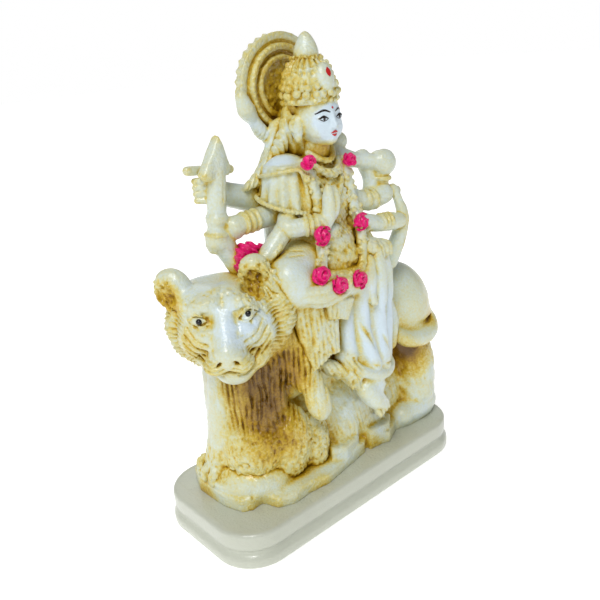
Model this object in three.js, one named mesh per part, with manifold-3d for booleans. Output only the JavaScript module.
// A cast resin devotional figure: a many-armed goddess seated side-saddle on a lion, a round halo behind her
// crowned head, all standing on a rocky ground and a low plinth. Millimetres, +Z up. The origin is the centre
// of the plinth's underside, +X runs along the plinth from the lion's head to its rump, and the goddess
// faces -Y.
import * as THREE from "three";
import { mergeVertices } from "three/addons/utils/BufferGeometryUtils.js";
import Module from "manifold-3d";

// Driving dimensions.
const plinthLength = 125;
const plinthWidth = 60;
const plinthHeight = 15;
const plinthCornerRadius = 17;
const figureHeight = 168; // from the plinth's top to the top of the halo
const glueLine = 0.3; // gap between the figure's underside and the plinth

const wasm = await Module();
wasm.setup();

// Colours of the two castings.
const ivory = new THREE.MeshStandardMaterial({ color: 0xe6e0c0, roughness: 0.28, metalness: 0 });
const paleStone = new THREE.MeshStandardMaterial({ color: 0xdcdcc6, roughness: 0.3, metalness: 0 });

// Joining and cutting closed forms.
function solidOf(geometry) {
  const bare = geometry.clone();
  bare.deleteAttribute("normal");
  bare.deleteAttribute("uv");
  const merged = mergeVertices(bare, 1e-4);
  const solid = new wasm.Manifold(new wasm.Mesh({
    numProp: 3,
    vertProperties: merged.attributes.position.array,
    triVerts: new Uint32Array(merged.index.array),
  }));
  return solid;
}

function geometryOf(solid) {
  const mesh = solid.getMesh();
  const geometry = new THREE.BufferGeometry();
  geometry.setAttribute("position", new THREE.BufferAttribute(new Float32Array(mesh.vertProperties), 3));
  geometry.setIndex(new THREE.BufferAttribute(new Uint32Array(mesh.triVerts), 1));
  geometry.computeVertexNormals();
  return geometry;
}

function joined(geometries) {
  return geometries.map(solidOf).reduce((sum, next) => sum.add(next));
}

// Sculpting forms. Every point is [x, y, z] in figure space: millimetres, with z = 0 on the plinth's top.
const degrees = Math.PI / 180;

// A closed skin over a stack of rings that all have the same number of points.
function skin(rings) {
  const sides = rings[0].length;
  const centreOf = (ring) => ring.reduce((sum, p) => sum.add(p), new THREE.Vector3()).divideScalar(sides);
  const points = [centreOf(rings[0]), ...rings.flat(), centreOf(rings[rings.length - 1])];
  const last = points.length - 1;
  const at = (ring, side) => 1 + ring * sides + (side % sides);
  const faces = [];
  for (let s = 0; s < sides; s++) {
    faces.push(0, at(0, s + 1), at(0, s));
    for (let r = 0; r + 1 < rings.length; r++) {
      faces.push(at(r, s), at(r, s + 1), at(r + 1, s + 1));
      faces.push(at(r, s), at(r + 1, s + 1), at(r + 1, s));
    }
    faces.push(last, at(rings.length - 1, s), at(rings.length - 1, s + 1));
  }
  const geometry = new THREE.BufferGeometry().setFromPoints(points);
  geometry.setIndex(faces);
  return geometry;
}

// An egg-shaped lump, turned by angles about x, y and z in degrees.
function egg(centre, radii, turn = [0, 0, 0], sides = 7, rings = 4) {
  const angles = turn.map((angle) => angle * degrees);
  return new THREE.SphereGeometry(1, sides, rings)
    .rotateX(Math.PI / 2)
    .scale(...radii)
    .applyMatrix4(new THREE.Matrix4().makeRotationFromEuler(new THREE.Euler(...angles, "ZYX")))
    .translate(...centre);
}

// An egg whose surface is parted into locks that run from pole to pole, like a lion's ruff.
function tufted(centre, radii, turn, locks, depth, rings = 5) {
  const sides = 2 * locks;
  const stack = Array.from({ length: rings }, (_, r) => {
    const tilt = ((r + 0.5) / rings - 0.5) * Math.PI;
    return Array.from({ length: sides }, (__, s) => {
      const reach = Math.cos(tilt) * (s % 2 === 0 ? 1 : 1 - depth);
      const angle = (s / sides) * 2 * Math.PI;
      return new THREE.Vector3(reach * Math.cos(angle), reach * Math.sin(angle), Math.sin(tilt));
    });
  });
  return skin(stack).applyMatrix4(new THREE.Matrix4()
    .makeRotationFromEuler(new THREE.Euler(...turn.map((angle) => angle * degrees), "ZYX"))
    .scale(new THREE.Vector3(...radii)).setPosition(...centre));
}

// A limb: a round bar through the points that swells and tapers, with rounded ends.
function limb(points, radii, sides = 5, stepsPerSpan = 1) {
  const curve = new THREE.CatmullRomCurve3(points.map((point) => new THREE.Vector3(...point)));
  const steps = (points.length - 1) * stepsPerSpan;
  const frames = curve.computeFrenetFrames(steps, false);
  const radiusAt = (t) => {
    const place = t * (radii.length - 1);
    const before = Math.min(Math.floor(place), radii.length - 2);
    return radii[before] + (radii[before + 1] - radii[before]) * (place - before);
  };
  const ring = (t, frame, shift, share) => {
    const centre = curve.getPoint(t).addScaledVector(frames.tangents[frame], shift);
    const radius = radiusAt(t) * share;
    return Array.from({ length: sides }, (_, s) => {
      const angle = (s / sides) * 2 * Math.PI;
      return centre.clone()
        .addScaledVector(frames.normals[frame], radius * Math.cos(angle))
        .addScaledVector(frames.binormals[frame], radius * Math.sin(angle));
    });
  };
  const rings = [];
  const roundings = [60];
  for (const tilt of roundings) {
    rings.push(ring(0, 0, -radii[0] * Math.sin(tilt * degrees) * 0.8, Math.cos(tilt * degrees)));
  }
  for (let i = 0; i <= steps; i++) rings.push(ring(i / steps, i, 0, 1));
  for (const tilt of [...roundings].reverse()) {
    const end = radii[radii.length - 1];
    rings.push(ring(1, steps, end * Math.sin(tilt * degrees) * 0.8, Math.cos(tilt * degrees)));
  }
  return skin(rings);
}

// A turned form: pairs of [radius, height] about an upright axis through the centre, tipped if asked.
function turned(centre, profile, sides = 12, tip = [0, 0, 0]) {
  const outline = profile.map(([radius, height]) => new THREE.Vector2(radius, height));
  const angles = tip.map((angle) => angle * degrees);
  return new THREE.LatheGeometry(outline, sides)
    .rotateX(Math.PI / 2)
    .applyMatrix4(new THREE.Matrix4().makeRotationFromEuler(new THREE.Euler(...angles, "ZYX")))
    .translate(...centre);
}

// A cloth bell: an oval skirt from a top ring to a hem ring whose folds deepen downwards.
function bell(top, hem, topRadii, hemRadii, folds, depth, sides = 24, rings = 4) {
  const stack = [];
  for (let r = 0; r <= rings; r++) {
    const t = r / rings;
    const centre = new THREE.Vector3(...hem).lerp(new THREE.Vector3(...top), t);
    const swell = Math.sin((1 - t) * Math.PI * 0.5);
    const radius = (axis) => topRadii[axis] + (hemRadii[axis] - topRadii[axis]) * swell;
    stack.push(Array.from({ length: sides }, (_, s) => {
      const angle = (s / sides) * 2 * Math.PI;
      const fold = 1 + depth * (1 - t) * Math.cos(folds * angle);
      return centre.clone().add(new THREE.Vector3(
        radius(0) * fold * Math.cos(angle), radius(1) * fold * Math.sin(angle), 0));
    }));
  }
  return skin(stack);
}

// Forms that were laid out about their own origin, rolled about y, turned about z and put in place.
function placed(geometries, position, yaw, roll) {
  const matrix = new THREE.Matrix4()
    .makeRotationFromEuler(new THREE.Euler(0, roll * degrees, yaw * degrees, "ZYX"))
    .setPosition(...position);
  return geometries.map((geometry) => geometry.applyMatrix4(matrix));
}

// The plinth: one rounded-rectangle outline carried up a moulding of [inset, height] pairs.
function plinth() {
  const moulding = [[1.2, 0], [0, 1.5], [0, 4.6], [1, 5.8], [1.9, 6.6], [1.5, 8],
    [0.9, 12.6], [1.1, 14], [2, 15]];
  const profileHeight = 15;
  const pointsPerQuarter = 4; // an arc is drawn with twice as many steps
  const cornerRadius = Math.min(plinthCornerRadius, plinthWidth / 2, plinthLength / 2);
  const rings = moulding.map(([inset, height]) => {
    const halfLength = plinthLength / 2 - inset;
    const halfWidth = plinthWidth / 2 - inset;
    const radius = cornerRadius - inset;
    const outline = new THREE.Shape()
      .absarc(halfLength - radius, halfWidth - radius, radius, 0, 90 * degrees)
      .absarc(-halfLength + radius, halfWidth - radius, radius, 90 * degrees, 180 * degrees)
      .absarc(-halfLength + radius, -halfWidth + radius, radius, 180 * degrees, 270 * degrees)
      .absarc(halfLength - radius, -halfWidth + radius, radius, 270 * degrees, 360 * degrees);
    return outline.getPoints(pointsPerQuarter).slice(0, -1)
      .map((p) => new THREE.Vector3(p.x, p.y, height * (plinthHeight / profileHeight)));
  });
  return skin(rings);
}

// The rocky ground: two stepped slabs with chipped outlines and the mound that carries the lion's belly.
function ground() {
  const lowerStep = [[-52, 4], [-50.5, -10], [-47, -15.5], [-42, -14.5], [-37, -22.5], [-30, -24], [-15, -22],
    [-9, -19], [0, -23.5], [10, -19.5], [14, -23.5], [27, -22.5], [33, -16], [40, -21], [53, -22], [60, -14],
    [61, 4], [55, 17], [40, 23], [22, 20], [4, 24], [-16, 21], [-34, 24], [-47, 18]];
  const edge = 1.1;
  const slab = new THREE.ExtrudeGeometry(new THREE.Shape(lowerStep.map(([x, y]) => new THREE.Vector2(x, y))),
    { depth: 4.8, bevelThickness: edge, bevelSize: edge, bevelOffset: -edge, bevelSegments: 1 })
    .translate(0, 0, -0.1);
  return [
    slab,
    egg([-35, 0, 7], [16, 18, 11]),
    tufted([-33, -7, 20], [14.5, 15.5, 22], [0, 0, 0], 10, 0.08, 4),
    egg([-19, -15, 14], [12, 9, 22], [0, 0, 15], 8, 5),
    egg([8, 0, 16], [26, 17, 24], [0, 0, 0], 8, 4),
    egg([34, 1, 14], [22, 16, 22], [0, 0, 0], 6, 4),
    egg([4, -14, 10], [8, 7, 14], [0, 0, 10], 6, 4),
    egg([20, -16, 6], [7, 6, 9], [0, 10, 0], 6, 4),
  ];
}

// The lion's trunk and legs. It strides towards -X, and its front legs part around the deep chest.
function lionBody() {
  const shoulderMane = [
    tufted([-33, -6, 47], [14.5, 18.5, 26], [0, 0, -15], 12, 0.09, 4),
    tufted([-31, -6, 69], [16.5, 18.5, 17.5], [0, 0, -15], 11, 0.07, 3),
  ];
  const trunk = limb([[-26, 1, 52], [32, 1, 52]], [22, 20], 8);
  const frontLegs = [
    limb([[-33, 8, 50], [-38, 7, 30], [-40, 6, 10]], [11, 8, 7.5]),
    egg([-43.5, 7, 7.5], [9, 8, 5.5], [0, 0, -30]),
    limb([[-22, -18, 58], [-19, -23, 44], [-17, -24, 34]], [9, 6.5, 5.5], 7),
  ];
  const hindLeg = [
    egg([46, -8, 50], [18, 15, 22], [0, -18, -12], 9, 5),
    limb([[48, -13, 36], [52, -15, 22], [50, -16, 10]], [9, 8, 7.5]),
    egg([46, -17, 6], [12, 7.5, 6.5], [0, 0, 8]),
  ];
  const farHindLeg = [
    egg([45, 9, 50], [17, 14, 22], [0, -18, 12], 8, 4),
    limb([[49, 12, 36], [53, 14, 22], [50, 14, 10]], [9, 7.5, 7]),
    egg([46, 15, 6], [11, 7, 6]),
  ];
  const tail = limb([[54, 8, 62], [59, 15, 48], [57, 20, 30], [44, 23, 16], [30, 24, 13]],
    [4, 3.4, 3, 3, 4.4]);
  return [...shoulderMane, trunk, ...frontLegs, ...hindLeg, ...farHindLeg, tail];
}

// The lion's head, laid out facing -Y about the middle of its skull, then turned out over the left end.
function lionHead() {
  const ears = [
    egg([-16, 2, 11], [7, 3.8, 7.4], [-10, -40, 0], 9, 5),
    egg([11.5, 2, 14], [7, 3.8, 7], [-10, 15, 0], 9, 5),
  ];
  const ruffs = [-1, 1].map((side) =>
    tufted([side * 12, 2, -6], [9.5, 14, 9], [90, 0, side * 12], 9, 0.09, 4));
  const cheeks = [-1, 1].map((side) => egg([side * 6.5, -8, -8], [7, 7, 8]));
  const brows = [-1, 1].map((side) => egg([side * 7, -9, 6], [5.5, 4, 3.4]));
  const lips = [-1, 1].map((side) => egg([side * 3.6, -17.5, -11.5], [4.8, 5.5, 4.2]));
  const bridge = limb([[0, -8, 6], [0, -14, 1], [0, -19.5, -6]], [5.4, 4.6, 4]);
  const forms = [
    egg([0, 4, 1], [17.5, 15, 14], [0, 0, 0], 8, 5),
    ...ruffs, ...ears, ...cheeks, ...brows, ...lips, bridge,
    egg([0, -22, -7], [4, 2.6, 2.6]),
    egg([0, -15, -16], [5.5, 6, 4.5]),
  ];
  return placed(forms, [-45, -12, 79], -38, -1);
}

// The seated goddess: trunk, folded right leg, hanging left leg and the cloth over them.
function goddessBody() {
  const hips = egg([4, -3, 80], [18, 14, 12]);
  const trunk = limb([[4, -3, 82], [3, -7, 96], [3, -8, 109], [3, -8, 119]], [12, 9.5, 12, 8], 7);
  const bust = [-1, 1].map((side) => egg([3 + side * 5, -15, 108], [5.5, 5, 5.5]));
  const neck = limb([[3, -9, 121], [2, -12, 129]], [5.4, 4.8]);
  const rightLeg = [
    limb([[0, -6, 84], [-16, -16, 87], [-24, -21, 87]], [12, 10, 8.5], 7),
    limb([[-23, -22, 84], [-8, -26, 81], [6, -25, 80]], [7.5, 6.5, 6], 7),
  ];
  const leftLeg = [
    limb([[8, -6, 83], [15, -20, 81]], [12, 10], 8),
    bell([15, -22, 80], [9, -24.5, 38], [9, 7], [8.5, 6], 7, 0.12, 21, 3),
    limb([[9, -24, 40], [9, -25, 34], [6, -27, 29]], [5, 4.6, 3.8]),
  ];
  const cape = bell([-9, -6, 121], [-12, -8, 107], [7, 6], [13, 12], 8, 0.07, 24, 1);
  const farShoulder = egg([13, -6, 120], [8, 8, 8]);
  const backCloth = bell([1.5, 4, 134], [3, 2, 76], [8, 4.5], [16, 10], 5, 0.08, 20, 2);
  const saddleCloth = bell([-8, -23, 84], [-13, -23, 54], [12, 5], [9, 4], 6, 0.14, 18, 2);
  return [hips, trunk, ...bust, neck, ...rightLeg, ...leftLeg, cape, farShoulder, backCloth, saddleCloth];
}

// Head, ears and the tiered crown.
function goddessHead() {
  const face = [
    egg([2, -12, 137], [8.6, 10, 10.5], [0, 0, 0], 9, 5),
    egg([2, -17, 132], [5.5, 5, 5]),
    egg([2, -22, 136.5], [1.6, 1.8, 2.6]),
  ];
  const ears = [-1, 1].map((side) => egg([2 + side * 9.2, -11, 134], [2.2, 3, 5]));
  const hair = egg([2.5, -5, 135], [10, 9, 13]);
  const crownProfile = [[0, 141], [10.2, 141], [11.5, 143.5], [11.3, 148], [9, 153], [6.4, 157], [4.8, 158],
    [4.5, 162], [3, 165.5], [0, 166.8]];
  const crown = turned([1.4, -10, 0], crownProfile, 11);
  const plaque = egg([2, -19, 149], [4.4, 3, 6], [-12, 0, 0]);
  return [...face, ...ears, hair, crown, plaque];
}

// The halo: a round plate with a scalloped rim and raised rings, tied to her right shoulder by the shawl.
function halo() {
  const centre = [1, 2, 149];
  const radius = 19;
  const thickness = 4.5;
  const scallops = 26;
  const pointsPerScallop = 2;
  const rim = Array.from({ length: scallops * pointsPerScallop }, (_, i) => {
    const angle = (i / (scallops * pointsPerScallop)) * 2 * Math.PI;
    const reach = radius - (i % pointsPerScallop === 0 ? 0 : 0.9);
    return new THREE.Vector2(reach * Math.cos(angle), reach * Math.sin(angle));
  });
  const plate = new THREE.ExtrudeGeometry(new THREE.Shape(rim), { depth: thickness, bevelEnabled: false })
    .rotateX(Math.PI / 2).translate(centre[0], centre[1] + thickness, centre[2]);
  const ring = (ringRadius, bar) => new THREE.TorusGeometry(ringRadius, bar, 4, 16)
    .rotateX(Math.PI / 2).translate(...centre);
  const shawl = limb([[1, 4, 134], [-4, 2, 124], [-13, 2, 115]], [6, 6, 5]);
  return [plate, ring(15, 1.3), ring(11, 1.2), shawl];
}

// The arms and what they hold. Four show on each side, as short limbs that end in fists.
function arms() {
  const blessing = [
    limb([[-16, -14, 106], [-18, -18, 103], [-9, -23, 103]], [4, 4.2, 3.4]),
    limb([[-6, -24, 102], [-4, -24.5, 108], [-3.5, -25, 115]], [3.4, 3.8, 2.4]),
  ];
  const shaftProfile = [[0, 0], [3.4, 1.5], [4.4, 6], [3.7, 10], [3.6, 27], [5.6, 27.5], [3.2, 34],
    [1.4, 38.5], [0, 39.5]];
  const staff = [
    limb([[-10, -6, 108], [-18, -6, 107], [-28, -5, 106]], [4.5, 3.6, 4.2]),
    egg([-30.5, -4, 105.5], [4, 4.6, 4.6]),
    turned([-36.5, -1, 97.5], shaftProfile, 8, [0, 7, 0]),
    limb([[-35.5, -2, 103], [-34, -4, 96], [-30, -9, 88]], [4.6, 4, 5]),
  ];
  const raised = [
    limb([[-12, 3, 110], [-24, 4, 114], [-36, 4, 119]], [5.5, 4.5, 4.5]),
    limb([[-43, 2, 127], [-27, 2, 124.5]], [1.8, 1.8]),
  ];
  const lotusArm = limb([[-16, -14, 107], [-21, -15, 100], [-28, -14, 93]], [4, 3.4, 3.4]);
  const lotus = egg([-30, -9, 97], [5.5, 5, 4]);
  const mace = [
    limb([[10, -5, 120], [18, -6, 127], [25, -7, 128]], [6, 5.6, 4.8], 6),
    limb([[23, -8, 127], [25, -12, 121], [31, -15, 118]], [4.6, 4, 4.6], 6),
    limb([[31, -15, 118.5], [31, -15, 106]], [4.2, 3.4]),
    limb([[14, -12, 108], [22, -16, 104.5], [30, -17, 106]], [4.6, 4.2, 4.6]),
  ];
  const bow = [
    limb([[14, -18, 101], [24, -21, 98], [34, -22, 96]], [3.8, 3.4, 3.2]),
    limb([[35, -18, 107.5], [36, -20, 102], [35, -22, 96], [33.5, -20, 87], [32, -17, 78]],
      [1.8, 2, 2.8, 3.4, 3.6]),
    limb([[30, -17, 107], [35, -18, 107]], [2.2, 1.8]),
  ];
  const kneeHand = [
    limb([[12, -14, 102], [14, -20, 95], [15, -23, 90]], [4, 3.6, 4]),
    egg([16, -23, 88], [6.5, 5, 4.6]),
  ];
  return [...blessing, ...staff, ...raised, lotusArm, lotus, ...mace, ...bow, ...kneeHand];
}

// The flower garland: a thick strand down each side of the front to a loop over the lap, and its roses.
function garland() {
  const route = [[-7, -17, 122], [-6, -20, 112], [-8, -23, 100], [-14, -27, 88], [-9, -29.5, 83],
    [0, -29.5, 81], [7, -27, 86], [10, -24, 98], [9, -20, 112], [9, -17, 121]];
  const strand = limb(route, [2.6, 2.6]);
  const roses = [[-8, -20, 124], [8, -19, 122.5], [-8, -24.5, 99.5], [11, -24, 101], [-14, -29, 87.5],
    [-8, -30.5, 83.5], [0, -30.5, 82]];
  return [strand, ...roses.map((place) => egg(place, [3, 2.2, 3], [0, 0, 0], 6, 3))];
}

// The whole casting, cut off flat at the plinth's top and brought to its height.
function figure() {
  const carvedHeight = 168; // the height at which the forms above are laid out
  const forms = [...ground(), ...lionBody(), ...lionHead(), ...goddessBody(), ...goddessHead(), ...halo(),
    ...arms(), ...garland()];
  const below = 20;
  const floor = solidOf(new THREE.BoxGeometry(400, 400, below).translate(0, 0, -below / 2));
  const casting = joined(forms).subtract(floor);
  const share = figureHeight / carvedHeight;
  return geometryOf(casting).scale(share, share, share).translate(0, 0, plinthHeight + glueLine);
}

const durgaFigure = new THREE.Group();
durgaFigure.name = "durga_figure";
const add = (name, geometry, material) => {
  const mesh = new THREE.Mesh(geometry, material);
  mesh.name = name;
  durgaFigure.add(mesh);
};
add("plinth", plinth(), paleStone);
add("figure", figure(), ivory);

export default durgaFigure;
